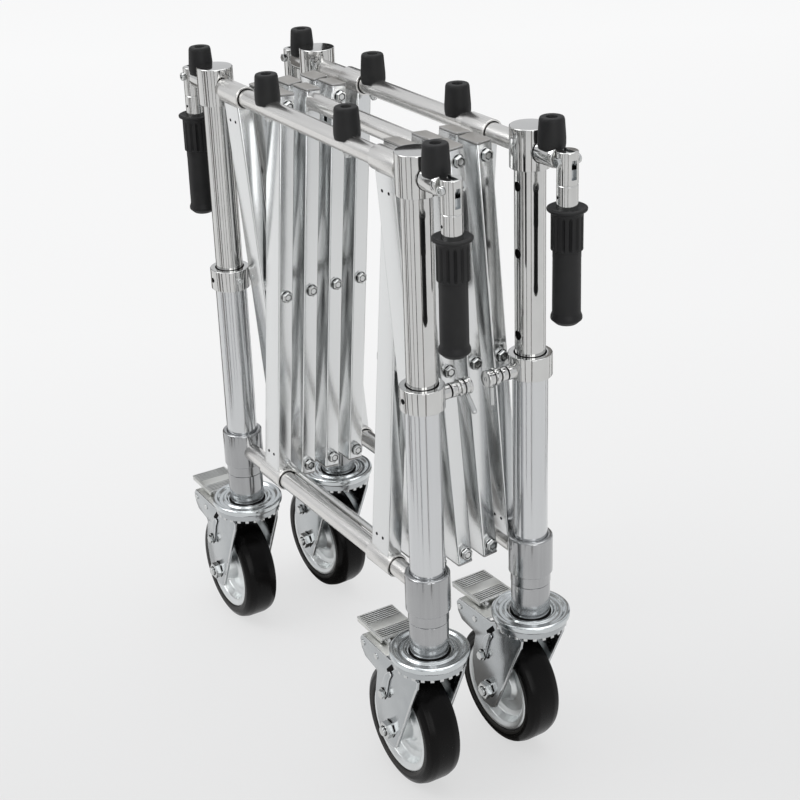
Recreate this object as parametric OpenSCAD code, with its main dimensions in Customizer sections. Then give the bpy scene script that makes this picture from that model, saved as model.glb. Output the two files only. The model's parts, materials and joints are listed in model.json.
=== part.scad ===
// Folding coffin truck: two wheeled end frames joined by a double scissor lattice.
// X runs left to right along the crossbars, Y from the front frame to the rear one, Z up.
// The origin is on the floor under the middle of the truck's box. Drawn folded, as in the photo.

/* [Frames] */
// Distance between the left and right post of one frame
post_spread = 444.8; // [300:0.1:700]
// Distance between the front and rear posts when folded
folded_gap = 144.4; // [120:0.1:200]
// Height of the upper crossbars when folded
upper_bar_z = 771; // [600:1:900]
// Height of the lower crossbars
lower_bar_z = 277; // [200:1:400]
// Diameter of the crossbars
bar_d = 22; // [16:0.5:30]

/* [Posts] */
// Outer diameter of the lower post tubes
lower_tube_d = 40; // [30:0.5:60]
// Bore of the lower post tubes
lower_tube_bore = 35.5; // [26:0.5:56]
// Outer diameter of the sliding chrome tubes
upper_tube_d = 34.5; // [24:0.5:50]
// Wall of the sliding chrome tubes
upper_tube_wall = 2; // [1:0.1:4]
// Length of the chrome tubes left below the collars when folded
upper_tube_overlap = 37; // [20:1:60]
// Collar diameter
collar_d = 50; // [42:0.5:70]
// Underside of the collars
collar_foot_z = 507; // [480:1:520]
// Height of the collars
collar_h = 27; // [22:0.5:45]
// Thickness of the collars' lip over the lower tubes
collar_lip = 4; // [2:0.5:8]
// Head diameter
head_d = 44.5; // [36:0.5:60]
// Top of the heads above the middle of the upper crossbars
head_rise = 24; // [16:0.5:40]
// Underside of the heads below the middle of the upper crossbars
head_drop = 22; // [16:0.5:40]
// Thickness of the closed head top
head_cap = 4; // [2:0.5:8]
// Socket diameter
socket_d = 52; // [42:0.5:70]
// Diameter of the socket's foot
socket_foot_d = 47; // [42:0.5:60]
// Height of the socket's foot
socket_foot_h = 14; // [10:0.5:30]
// Height of the socket above its foot
socket_h = 48.5; // [40:0.5:80]
// Thickness of the socket's floor under the lower tube
socket_floor = 5; // [3:0.5:10]

/* [Height stops] */
// Diameter of the plunger pins
pin_d = 7; // [4:0.5:10]
// Height of the plunger pins above the collars' underside
pin_rise = 9.7; // [8:0.1:16]
// Diameter of the index holes in the chrome tubes
index_hole_d = 11; // [6:0.5:12]
// Drop from folded to each index hole, the last one with the truck fully open
index_drops = [41.5, 137, 213]; // [40:1:220]
// Plunger barrel diameter
barrel_d = 17; // [10:0.5:24]
// Distance from the middle plane to the barrel's end
barrel_end_y = 30; // [20:0.5:45]
// Plunger knob diameter
knob_d = 20; // [12:0.5:30]
// Distance from the middle plane to the knob's end
knob_end_y = 11; // [9:0.5:20]
// Diameter of the lever rod under each knob
knob_rod_d = 6; // [3:0.5:10]
// Length of the lever rod below the pin
knob_rod_l = 33; // [20:0.1:40]
// Outward tilt of the front levers, in degrees
front_lever_tilt = 42; // [-90:1:90]
// Outward tilt of the rear levers, in degrees
rear_lever_tilt = 3; // [-90:1:90]

/* [Lattice] */
// Height between the top and bottom pivots inside the lattice when folded
node_rise = 476; // [300:1:700]
// Arm tube width along the crossbars
arm_w = 35; // [20:0.5:50]
// Arm tube depth
arm_t = 20; // [12:0.5:30]
// Arm tube wall
arm_wall = 1.5; // [1:0.1:4]
// Middle of the outer arms from the middle of the lattice
outer_arm_x = 171; // [120:0.5:220]
// Middle of the inner arms from the middle of the lattice
inner_arm_x = 130.5; // [80:0.5:180]
// Sideways play of the lattice on the crossbars, to the right in the photo
lattice_shift = 4; // [-6:0.5:6]
// How far an arm runs past its end pivot, cap included
arm_over = 15; // [10:0.5:25]
// Thickness of the arm end caps
arm_cap = 2; // [1:0.5:4]
// Diameter of the sleeves on the crossbars
sleeve_d = 28; // [24:0.5:40]
// Length of the sleeves on the front crossbars
front_sleeve_l = 48; // [30:0.5:52]
// Length of the sleeves on the rear crossbars, clear of the buffers and the sockets
rear_sleeve_l = 41; // [30:0.5:44]
// Pivot bolt diameter
bolt_d = 8; // [5:0.5:12]
// Width across flats of the bolt heads
bolt_head_flats = 13; // [8:0.5:20]
// Height of the bolt heads
bolt_head_h = 5.3; // [3:0.1:10]
// Washer diameter
washer_d = 16; // [10:0.5:24]
// Washer thickness
washer_t = 1.6; // [1:0.1:3]
// Diameter of the tie rod near the front lower bar
tie_rod_d = 8; // [5:0.5:12]
// Tie rod behind the front lower bar
tie_rod_back = 13; // [10:0.5:20]
// Tie rod above the front lower bar
tie_rod_up = 9; // [5:0.5:20]

/* [Handles] */
// Distance from the post to the handle hinge
handle_reach = 64; // [50:0.1:100]
// Stub diameter
stub_d = 26; // [20:0.5:36]
// Handle stem diameter
stem_d = 23; // [16:0.5:34]
// Thickness of the stub's tongue
tongue_t = 6; // [4:0.5:10]
// Height of the tongue
tongue_h = 15; // [10:0.5:22]
// Hinge pin diameter
hinge_pin_d = 6; // [4:0.5:10]
// Top of the grips below the handle hinges
grip_drop = 49.4; // [40:0.5:80]
// Length of the grips
grip_l = 131; // [100:0.1:150]
// Diameter of the grip's upper flange
grip_flange_d = 43.5; // [30:0.5:60]
// Ribbed grip diameter
grip_d = 34.5; // [26:0.5:50]
// Plain grip diameter
grip_neck_d = 30.5; // [24:0.5:46]
// Diameter of the flare at the foot of the grips
grip_foot_d = 34.5; // [26:0.5:50]
// Length of the grip's flange and ribbed part
grip_rib_l = 47; // [20:0.5:70]
// Diameter of the stem inside the grip
grip_core_d = 16; // [10:0.5:24]

/* [Buffers] */
// Buffer diameter at the foot
buffer_d = 30; // [20:0.5:44]
// Buffer diameter at the top
buffer_top_d = 27; // [16:0.5:40]
// Top of the buffers above the middle of the upper crossbars
buffer_rise = 41; // [34:0.5:60]
// Foot of the buffers below the top of what they sit on
buffer_wrap = 6; // [2:0.5:10]
// Distance of the bar buffers from the middle plane
bar_buffer_x = 89; // [40:1:160]
// Distance of the stub buffers from the posts
stub_buffer_reach = 37.4; // [30:0.1:60]

/* [Casters] */
// Wheel diameter over the tyre
wheel_d = 150; // [80:1:250]
// Tyre width
tyre_w = 46; // [24:1:60]
// Rim diameter
rim_d = 114.8; // [60:0.2:200]
// Axle diameter
axle_d = 12; // [8:0.5:20]
// Distance from the swivel axis to the axle
trail = 41.5; // [20:0.5:70]
// Turn of the front casters in the photo, in degrees
front_turn = -1.7; // [-10:0.1:10]
// Turn of the rear casters in the photo, in degrees
rear_turn = 1.1; // [-10:0.1:10]
// Diameter of the caster adapter
adapter_d = 46; // [36:0.5:60]
// Height of the caster adapter above its disc
adapter_h = 39; // [30:0.5:60]
// Diameter of the caster disc
disc_d = 93.6; // [70:0.2:120]
// Underside of the caster disc above the axle
fork_rise = 117; // [100:0.5:140]
// Thickness of the caster disc
disc_t = 9; // [7:0.5:14]
// Inner diameter of the toothed ring
ring_bore = 80; // [60:1:100]
// Outer diameter of the toothed ring
ring_d = 86; // [66:1:110]
// Number of teeth on the ring
ring_teeth = 24; // [12:1:40]
// Kingpin diameter
kingpin_d = 20; // [12:1:30]
// Gap between the fork legs
fork_gap = 59; // [40:0.5:62]
// Thickness of the fork legs
fork_t = 3.5; // [2:0.5:6]
// Width of the brake pedal
pedal_w = 50; // [30:1:70]
// Distance from the swivel axis to the pedal's outer edge
pedal_reach = 127; // [100:1:160]
// Distance from the swivel axis to the pedal pivot
pedal_pivot_back = 68; // [50:1:100]
// Height of the pedal pivot above the axle
pedal_pivot_rise = 87; // [84:0.5:92]
// Height of the pedal's upper face above its pivot
pedal_rise = 21.5; // [19:0.5:28]
// Distance from the swivel axis to the end of the brake bracket
bracket_reach = 106; // [100:0.5:115]
// Radius of the fork leg about the axle
leg_foot_r = 19; // [15:0.5:26]
// Height of the leg's rounded foot below the axle
leg_foot_drop = 7; // [0:0.5:12]

/* [Fits] */
// Radial clearance of pins, bolts and bars in what turns on them
fit = 0.05; // [0.01:0.01:0.1]
// Clearance between the plunger's tip and the chrome tube when folded
pin_rest_gap = 0.35; // [0.1:0.05:1]

/* [Hidden] */
$fn = 48;
post_x = post_spread / 2;
post_y = folded_gap / 2;
front = -1;
rear = 1;
left = -1;
right = 1;
// The lattice: every arm leans by the same angle, and the bars stay above one another.
bar_rise = upper_bar_z - lower_bar_z;
lean = atan(folded_gap / (bar_rise + 3 * node_rise));
end_half = bar_rise / 2 / cos(lean);
mid_half = node_rise / 2 / cos(lean);
mid_z = (upper_bar_z + lower_bar_z) / 2;
first_mid_y = -post_y + end_half * sin(lean);
mid_step = 2 * mid_half * sin(lean);
layer_gap = outer_arm_x - inner_arm_x - arm_w;
hinge_x = post_x + handle_reach;
leg_in = fork_gap / 2;
leg_out = leg_in + fork_t;
// Heights, from the wheels up
axle_z = wheel_d / 2;
disc_foot_z = axle_z + fork_rise;
disc_top_z = disc_foot_z + disc_t;
pedal_pivot_z = axle_z + pedal_pivot_rise;
pedal_z = pedal_pivot_z + pedal_rise;
socket_foot_z = disc_top_z + adapter_h;
socket_step_z = socket_foot_z + socket_foot_h;
socket_top_z = socket_step_z + socket_h;
lower_tube_foot_z = socket_foot_z + socket_floor;
collar_top_z = collar_foot_z + collar_h;
lower_tube_top_z = collar_top_z - collar_lip;
pin_z = collar_foot_z + pin_rise;
upper_tube_foot_z = collar_foot_z - upper_tube_overlap;
head_foot_z = upper_bar_z - head_drop;
head_top_z = upper_bar_z + head_rise;
buffer_top_z = upper_bar_z + buffer_rise;
grip_top_z = upper_bar_z - grip_drop;
grip_foot_z = grip_top_z - grip_l;
grip_rib_foot_z = grip_top_z - grip_rib_l;
// The posts' middle lies beside the origin, because the casters trail to the left.
right_reach = handle_reach + grip_flange_d / 2;
left_reach = pedal_reach * cos(front_turn) + pedal_w / 2 * abs(sin(front_turn));
middle_x = (left_reach - right_reach) / 2;
lattice_x = middle_x + lattice_shift;
bracket_top_z = pedal_pivot_z + 12.5;
pedal_lug_y = fork_gap / 2 - 12.5;

function mid_y(i) = first_mid_y + (i - 1) * mid_step;

// Primitive helpers

module rod_x(d, x0, x1, y, z) {
    translate([x0, y, z]) rotate([0, 90, 0]) cylinder(d = d, h = x1 - x0);
}

module rod_y(d, y0, y1, x, z) {
    translate([x, y0, z]) rotate([-90, 0, 0]) cylinder(d = d, h = y1 - y0);
}

module rod_z(d, z0, z1) {
    translate([0, 0, z0]) cylinder(d = d, h = z1 - z0);
}

module hex_x(flats, x0, x1) {
    translate([x0, 0, 0]) rotate([0, 90, 0]) cylinder(d = flats / cos(30), h = x1 - x0, $fn = 6);
}

// Draws its children at both posts of one frame, mirrored from right to left.
module both_posts(end) {
    for (side = [left, right]) at_post(end, side) children();
}

// Drawn for a right-hand front post whose middle plane lies towards +Y.
module at_post(end, side) {
    translate([middle_x + side * post_x, end * post_y, 0]) scale_sign(side, -end) children();
}

module scale_sign(x_sign, y_sign) {
    mirror([x_sign < 0 ? 1 : 0, 0, 0]) mirror([0, y_sign < 0 ? 1 : 0, 0]) children();
}

// Posts

module lower_tube() {
    difference() {
        rod_z(lower_tube_d, lower_tube_foot_z, lower_tube_top_z);
        rod_z(lower_tube_bore, lower_tube_foot_z - 1, lower_tube_top_z + 1);
        rod_y(pin_d + 2, 0, lower_tube_d, 0, pin_z);
    }
}

module socket() {
    rim_round = 2;
    difference() {
        union() {
            rod_z(socket_d, socket_step_z, socket_top_z - rim_round);
            translate([0, 0, socket_top_z - rim_round])
                cylinder(d1 = socket_d, d2 = socket_d - 2 * rim_round, h = rim_round);
            rod_z(socket_foot_d, socket_foot_z, socket_step_z);
        }
        rod_z(lower_tube_d + 2 * fit, lower_tube_foot_z, socket_top_z + 1);
        rod_x(bar_d + 2 * fit, -socket_d, 0, 0, lower_bar_z);
    }
}

module caster_head() {
    seat = 0.05;
    rod_z(adapter_d, disc_top_z - 4, socket_foot_z - seat);
    rotate_extrude() polygon([
        [0, disc_foot_z], [disc_d / 2 - 3, disc_foot_z], [disc_d / 2, disc_foot_z + 2.5],
        [disc_d / 2, disc_top_z - 3], [disc_d / 2 - 2.5, disc_top_z], [40, disc_top_z],
        [37.5, disc_top_z - 2.5], [33, disc_top_z - 2.5], [31, disc_top_z - 0.5],
        [28, disc_top_z - 0.5], [26, disc_top_z - 3], [0, disc_top_z - 3]
    ]);
    toothed_ring();
    rod_z(kingpin_d, disc_foot_z - 8, disc_foot_z + 1);
    rod_z(kingpin_d + 12, disc_foot_z - 10, disc_foot_z - 5);
}

module toothed_ring() {
    tooth_h = 3;
    body_foot_z = disc_foot_z - 8;
    difference() {
        union() {
            rod_z(ring_d, body_foot_z, disc_foot_z + 1);
            for (i = [0 : ring_teeth - 1]) rotate([0, 0, i * 360 / ring_teeth])
                translate([ring_d / 2 - 3, -2.2, body_foot_z - tooth_h]) cube([3, 4.4, tooth_h + 1]);
        }
        rod_z(ring_bore, body_foot_z - tooth_h - 1, disc_foot_z);
    }
}

module collar() {
    difference() {
        union() {
            rod_z(collar_d, collar_foot_z, collar_top_z - 1);
            translate([0, 0, collar_top_z - 1]) cylinder(d1 = collar_d, d2 = collar_d - 2, h = 1);
            rod_y(barrel_d, collar_d / 2 - 2, post_y - barrel_end_y, 0, pin_z);
        }
        rod_z(lower_tube_d + 2 * fit, collar_foot_z - 1, lower_tube_top_z);
        rod_z(lower_tube_bore, lower_tube_top_z - 1, collar_top_z + 1);
        rod_y(pin_d + 2 * fit, 0, post_y, 0, pin_z);
    }
}

// The pin's tip waits just clear of the chrome tube, and slides in Y.
module plunger(lever_tilt) {
    tip = upper_tube_d / 2 + pin_rest_gap;
    knob_in = post_y - barrel_end_y + 1;
    knob_out = post_y - knob_end_y;
    rod_y(pin_d, tip, knob_in + 1, 0, pin_z);
    rod_y(knob_d - 5, knob_in, knob_in + 3, 0, pin_z);
    rod_y(knob_d, knob_in + 3, knob_out, 0, pin_z);
    translate([0, (knob_in + 3 + knob_out) / 2, pin_z]) rotate([0, -lever_tilt, 0])
        rod_z(knob_rod_d, -knob_rod_l, 0);
}

module upper_tube() {
    difference() {
        rod_z(upper_tube_d, upper_tube_foot_z, head_top_z - head_cap);
        rod_z(upper_tube_d - 2 * upper_tube_wall, upper_tube_foot_z - 1, head_top_z);
        for (drop = index_drops) rod_y(index_hole_d, 0, upper_tube_d, 0, pin_z + drop);
    }
}

// The head closes the chrome tube, and its stub carries the folding handle.
module head() {
    stub_end = handle_reach - stem_d / 2 - 1.2;
    difference() {
        union() {
            rod_z(head_d, head_foot_z, head_top_z - 1);
            translate([0, 0, head_top_z - 1]) cylinder(d1 = head_d, d2 = head_d - 2, h = 1);
            rod_x(stub_d, head_d / 2 - 3, stub_end, 0, upper_bar_z);
            translate([stub_end - 2, -tongue_t / 2, upper_bar_z - tongue_h / 2])
                cube([handle_reach - stub_end + 2, tongue_t, tongue_h]);
            rod_y(tongue_h, -tongue_t / 2, tongue_t / 2, handle_reach, upper_bar_z);
        }
        rod_z(upper_tube_d + 2 * fit, head_foot_z - 1, head_top_z - head_cap);
        rod_x(bar_d + 2 * fit, -head_d, 0, 0, upper_bar_z);
        rod_y(hinge_pin_d + 2 * fit, -tongue_t, tongue_t, handle_reach, upper_bar_z);
    }
    hinge_pin();
}

module hinge_pin() {
    flat = stem_d / 2 - 0.5;
    head_l = 4.5;
    rod_y(hinge_pin_d, -flat - 1, flat + 1, handle_reach, upper_bar_z);
    rod_y(hinge_pin_d + 4.5, -flat - head_l, -flat, handle_reach, upper_bar_z);
    rod_y(hinge_pin_d + 4.5, flat, flat + head_l, handle_reach, upper_bar_z);
}

module crossbar(end, z, post_part_d) {
    reach = post_x - post_part_d / 2 - 0.2;
    rod_x(bar_d, middle_x - reach, middle_x + reach, end * post_y, z);
}

// A rubber foot that wraps a round bar or stub of diameter seat_d under it.
module buffer(seat_d) {
    foot_z = upper_bar_z + seat_d / 2 - buffer_wrap;
    waist_z = (foot_z + buffer_top_z) / 2;
    lip = 2;
    difference() {
        union() {
            rod_z(buffer_d, foot_z, waist_z);
            translate([0, 0, waist_z])
                cylinder(d1 = buffer_d, d2 = buffer_top_d, h = buffer_top_z - lip - waist_z);
            translate([0, 0, buffer_top_z - lip])
                cylinder(d1 = buffer_top_d, d2 = buffer_top_d - 2 * lip, h = lip);
        }
        rod_x(seat_d, -buffer_d, buffer_d, 0, upper_bar_z);
        rod_z(10, buffer_top_z - 10, buffer_top_z + 1);
    }
}

// Handles

module handle_stem() {
    knuckle_r = stem_d / 2;
    translate([handle_reach, 0, 0]) difference() {
        union() {
            rod_z(stem_d, grip_top_z, upper_bar_z);
            intersection() {
                rod_z(stem_d, upper_bar_z - 1, upper_bar_z + knuckle_r);
                rod_y(stem_d, -knuckle_r, knuckle_r, 0, upper_bar_z);
            }
            rod_z(grip_core_d, grip_foot_z + 12, grip_top_z + 1);
        }
        tongue_slot();
        rod_y(hinge_pin_d + 2 * fit, -stem_d, stem_d, 0, upper_bar_z);
        for (s = [-1, 1]) translate([0, s * (knuckle_r - 0.5 + 5), 0])
            rod_y(hinge_pin_d + 6, -5, 5, 0, upper_bar_z);
    }
}

// Open to the head and upwards, so that the stem can swing up and out by 90 degrees.
module tongue_slot() {
    play = 0.3;
    room = tongue_h / 2 + 1;
    width = tongue_t + 2 * play;
    translate([-stem_d, -width / 2, upper_bar_z - room]) cube([stem_d + room, width, stem_d]);
    translate([0, -width / 2, upper_bar_z - 13]) cube([stem_d, width, 15]);
}

module grip() {
    flange_t = 5;
    dome_z = grip_foot_z + 8;
    translate([handle_reach, 0, 0]) difference() {
        union() {
            rod_z(grip_flange_d, grip_top_z - flange_t, grip_top_z);
            rod_z(grip_d, grip_rib_foot_z, grip_top_z - flange_t);
            rod_z(grip_neck_d, dome_z, grip_rib_foot_z);
            rod_z(grip_foot_d, dome_z, dome_z + 8);
            translate([0, 0, grip_foot_z]) cylinder(d1 = grip_neck_d - 10, d2 = grip_foot_d, h = 8);
        }
        rod_z(grip_core_d + 2 * fit, grip_foot_z + 12 - fit, grip_top_z + 1);
    }
}

// Lattice

// Stands at mid pivot number i, leaning as the outer (-1) or inner (+1) arms do.
module at_arm(i, layer) {
    translate([lattice_x, mid_y(i), mid_z]) rotate([-layer * lean, 0, 0]) children();
}

// Arm pair about its mid pivot. A half is end_half long to a crossbar or mid_half to a pivot.
module arm_pair(i, layer, up, down) {
    x = layer < 0 ? outer_arm_x : inner_arm_x;
    at_arm(i, layer) for (side = [left, right]) translate([side * x, 0, 0]) {
        difference() {
            arm_tube(up, down);
            for (z = [-down, 0, up]) rod_x(bolt_d + 2 * fit, -arm_w, arm_w, 0, z);
            for (z = [-down, up]) if (on_bar(abs(z))) rod_x(sleeve_d, -arm_w, arm_w, 0, z);
        }
        if (!on_bar(up)) translate([0, 0, up + arm_over]) end_cap(1);
        if (!on_bar(down)) translate([0, 0, -down - arm_over]) end_cap(-1);
    }
}

function on_bar(half) = abs(half - end_half) < 0.001;

module arm_tube(up, down) {
    top = on_bar(up) ? up : up + arm_over - arm_cap;
    foot = on_bar(down) ? -down : -down - arm_over + arm_cap;
    translate([0, 0, foot]) difference() {
        translate([-arm_w / 2, -arm_t / 2, 0]) cube([arm_w, arm_t, top - foot]);
        translate([arm_wall - arm_w / 2, arm_wall - arm_t / 2, -1])
            cube([arm_w - 2 * arm_wall, arm_t - 2 * arm_wall, top - foot + 2]);
    }
}

module end_cap(way) {
    play = 0.1;
    plug = 6;
    plug_w = arm_w - 2 * arm_wall - 2 * play;
    plug_t = arm_t - 2 * arm_wall - 2 * play;
    mirror([0, 0, way < 0 ? 1 : 0]) {
        translate([-arm_w / 2, -arm_t / 2, -arm_cap + play]) cube([arm_w, arm_t, arm_cap - play]);
        translate([-plug_w / 2, -plug_t / 2, -arm_cap - plug]) cube([plug_w, plug_t, plug + arm_cap]);
    }
}

module sleeve_pair(end, z, x, length) {
    for (side = [left, right]) difference() {
        mid = lattice_x + side * x;
        rod_x(sleeve_d, mid - length / 2, mid + length / 2, end * post_y, z);
        rod_x(bar_d + 2 * fit, mid - length, mid + length, end * post_y, z);
    }
}

// Rod between the first inner arms, held to their inside faces by a small lug at each end.
module tie_rod() {
    lug_t = 3;
    lug_w = 9;
    lug_l = 20;
    reach = inner_arm_x - arm_w / 2 - fit;
    y = -post_y + tie_rod_back;
    z = lower_bar_z + tie_rod_up;
    rod_x(tie_rod_d, lattice_x - reach + 1, lattice_x + reach - 1, y, z);
    for (x = [lattice_x - reach, lattice_x + reach - lug_t])
        translate([x, y, z]) rotate([34, 0, 0])
            translate([0, -lug_w / 2, -lug_w / 2]) cube([lug_t, lug_w, lug_l]);
}

// Bolt groups of the inner arms. Each stands on the pivots at its heights along the arm.
module pivot_bolts(i, heights, capped) {
    at_arm(i, 1) for (z = heights, side = [left, right]) translate([0, 0, z])
        pivot_bolt(side, capped && z > 0);
}

// A bolt through both layers with the head on the right, or with it outside
// and its end in the cross tube where that tube joins the arms.
module pivot_bolt(side, into_tube) {
    near = inner_arm_x - arm_w / 2;
    far = outer_arm_x + arm_w / 2;
    x0 = side * (side > 0 ? near : far);
    x1 = side * (side > 0 ? far : near);
    spacer_x = side * (inner_arm_x + arm_w / 2 + layer_gap / 2);
    rod_x(washer_d, spacer_x - layer_gap / 2, spacer_x + layer_gap / 2, 0, 0);
    rod_x(bolt_d, x0 - 1, x1 + 1, 0, 0);
    if (!into_tube || side > 0) fastener_head(x1, 1);
    if (!into_tube || side < 0) fastener_head(x0, -1);
}

module fastener_head(x, way) {
    translate([x, 0, 0]) mirror([way < 0 ? 1 : 0, 0, 0]) {
        rod_x(washer_d, 0, washer_t, 0, 0);
        hex_x(bolt_head_flats, washer_t - 0.1, washer_t + bolt_head_h);
    }
}

// Cross tube between the second inner arms, in line with their top pivot.
module cross_tube() {
    reach = inner_arm_x - arm_w / 2 - fit;
    at_arm(2, 1) translate([0, 0, mid_half]) difference() {
        rod_x(bar_d, -reach, reach, 0, 0);
        rod_x(bolt_d + 2 * fit, -reach - 1, -reach + 12, 0, 0);
        rod_x(bolt_d + 2 * fit, reach - 12, reach + 1, 0, 0);
    }
}

// Casters, drawn about their swivel axis and trailing to the left

module at_caster(end, side) {
    turn = end < 0 ? front_turn : rear_turn;
    translate([middle_x + side * post_x, end * post_y, 0]) rotate([0, 0, turn]) children();
}

// Side view of a fork leg: crown, leg and the brake bracket behind it.
// The neck is narrow enough for the corners of both legs to turn inside the toothed ring.
module leg_outline() {
    top = disc_foot_z - 3;
    half = kingpin_d / 2 + 15;
    pivot = pedal_pivot_z;
    back = -bracket_reach;
    foot_z = axle_z - leg_foot_drop;
    heel = -trail - leg_foot_r;
    neck = sqrt(pow(ring_bore / 2 - 0.8, 2) - pow(leg_out, 2));
    difference() {
        union() {
            polygon([
                [neck, top], [-neck, top], [-neck, top - 9], [-half - 3, top - 10.5],
                [-half - 11, bracket_top_z], [back + 5, bracket_top_z],
                [back, pivot + 6], [back + 3, pivot - 6], [back + 10, pivot - 13],
                [2 - pedal_pivot_back, pivot - 19], [heel - 11, (pivot + axle_z) / 2],
                [heel - 13, axle_z + 25], [heel - 9, axle_z], [heel, foot_z - 8],
                [leg_foot_r - trail - 0.5, foot_z - 4], [half - 3, top - 24], [half, top - 11.5],
                [neck, top - 9]
            ]);
            translate([-trail, foot_z]) circle(r = leg_foot_r);
        }
        polygon([
            [-half - 8, pivot + 7], [-half - 18, pivot - 4], [-half - 15, pivot - 7], [-half - 6, pivot + 3]
        ]);
    }
}

module fork() {
    crown_top_z = disc_foot_z - 1;
    crown_t = 4;
    difference() {
        union() {
            rod_z(2 * leg_out + 10, crown_top_z - crown_t, crown_top_z);
            for (s = [-1, 1]) translate([0, s * (leg_in + leg_out) / 2 + fork_t / 2, 0])
                rotate([90, 0, 0]) linear_extrude(fork_t) leg_outline();
            translate([5 - bracket_reach, -leg_out, bracket_top_z - 3])
                cube([bracket_reach - 49, 2 * leg_out, 3]);
        }
        rod_z(kingpin_d + 2 * fit, 0, disc_foot_z + 1);
        rod_y(axle_d + 2 * fit, -leg_out - 1, leg_out + 1, -trail, axle_z);
        rod_y(pin_d, -leg_out - 1, leg_out + 1, -pedal_pivot_back, pedal_pivot_z);
        for (s = [-1, 1]) translate([-pedal_pivot_back - 12, s * pedal_lug_y - 4, bracket_top_z - 4.5])
            cube([24, 8, 6]);
    }
    fork_pins();
}

// Axle bolt with its nuts, the pedal pivot and the bracket's rivets.
module fork_pins() {
    seat = 0.05;
    head_out = leg_out + 12;
    rod_y(axle_d, -head_out + 4, head_out - 4, -trail, axle_z);
    for (s = [-1, 1]) translate([-trail, s * (leg_out + seat), axle_z]) rotate([0, 0, s * 90])
        hex_x(19, 0, head_out - leg_out);
    rod_y(pin_d - 2 * fit, -leg_out - 0.5, leg_out + 0.5, -pedal_pivot_back, pedal_pivot_z);
    for (y = [-leg_out, leg_out]) {
        rod_y(8, y - 1.2, y + 1.2, 7 - bracket_reach, pedal_pivot_z + 2);
        rod_y(10, y - 2.5, y + 2.5, -trail - 10.5, (axle_z + pedal_pivot_z) / 2 + 2.5);
    }
}

module rim() {
    hub_half = leg_in - 0.7;
    hub_r = axle_d / 2 + 9;
    rim_r = rim_d / 2;
    half = tyre_w / 2;
    translate([-trail, 0, axle_z]) rotate([90, 0, 0]) difference() {
        rotate_extrude() polygon([
            [0, -hub_half], [hub_r, -hub_half], [hub_r + 3, -8], [rim_r - 21, -5], [rim_r - 13, -6],
            [rim_r - 9, 4.5 - half], [rim_r, 2.5 - half], [rim_r, half - 2.5], [rim_r - 9, half - 4.5],
            [rim_r - 13, 6], [rim_r - 21, 5], [hub_r + 3, 8], [hub_r, hub_half], [0, hub_half]
        ]);
        cylinder(d = axle_d + 2 * fit, h = 3 * hub_half, center = true);
    }
}

module tyre() {
    r = wheel_d / 2;
    h = tyre_w / 2;
    translate([-trail, 0, axle_z]) rotate([90, 0, 0]) rotate_extrude() polygon([
        [rim_d / 2, -h + 2.5], [rim_d / 2 + 2, -h], [r - 7, -h], [r - 2.8, -h + 3.2],
        [r - 0.7, -h + 8], [r, -h + 14], [r, h - 14], [r - 0.7, h - 8],
        [r - 2.8, h - 3.2], [r - 7, h], [rim_d / 2 + 2, h], [rim_d / 2, h - 2.5]
    ]);
}

// Lever plate above the bracket with two lugs down to the pivot.
module brake_pedal() {
    plate_t = 3;
    lug_r = 7;
    x = -pedal_pivot_back;
    difference() {
        union() {
            translate([-pedal_reach, -pedal_w / 2, pedal_z - plate_t])
                cube([pedal_reach + x + 1, pedal_w, plate_t]);
            for (y = [-pedal_lug_y, pedal_lug_y]) {
                rod_y(2 * lug_r, y - 2, y + 2, x, pedal_pivot_z);
                translate([x - lug_r, y - 2, pedal_pivot_z])
                    cube([2 * lug_r, 4, pedal_z - plate_t - pedal_pivot_z + 1]);
            }
        }
        rod_y(pin_d, -pedal_w, pedal_w, x, pedal_pivot_z);
    }
}

// Materials

module satin() color("gainsboro") children();
module chromed() color("lightsteelblue") children();
module zinc() color("silver") children();
module black_rubber() color("dimgray") children();

// Nodes

module lower_frame_nodes(end, name) {
    satin() both_posts(end) lower_tube();
    zinc() both_posts(end) { socket(); caster_head(); }
    chromed() both_posts(end) collar();
    satin() crossbar(end, lower_bar_z, lower_tube_d);
}

module upper_frame_nodes(end, name) {
    chromed() both_posts(end) upper_tube();
    chromed() both_posts(end) head();
    satin() crossbar(end, upper_bar_z, upper_tube_d);
    black_rubber() buffers(end);
}

module buffers(end) {
    both_posts(end) translate([stub_buffer_reach, 0, 0]) buffer(stub_d);
    for (side = [left, right])
        translate([middle_x + side * bar_buffer_x, end * post_y, 0]) buffer(bar_d);
}

module corner_nodes(end, side, name) {
    chromed() at_post(end, side) handle_stem();
    black_rubber() at_post(end, side) grip();
    chromed() at_post(end, side)
        plunger(end == front ? front_lever_tilt : rear_lever_tilt);
    zinc() at_caster(end, side) fork();
    satin() at_caster(end, side) rim();
    black_rubber() at_caster(end, side) tyre();
    zinc() at_caster(end, side) brake_pedal();
}

lower_frame_nodes(front, "front");
lower_frame_nodes(rear, "rear");
upper_frame_nodes(front, "front");
upper_frame_nodes(rear, "rear");
corner_nodes(front, left, "front_left");
corner_nodes(front, right, "front_right");
corner_nodes(rear, left, "rear_left");
corner_nodes(rear, right, "rear_right");

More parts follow.
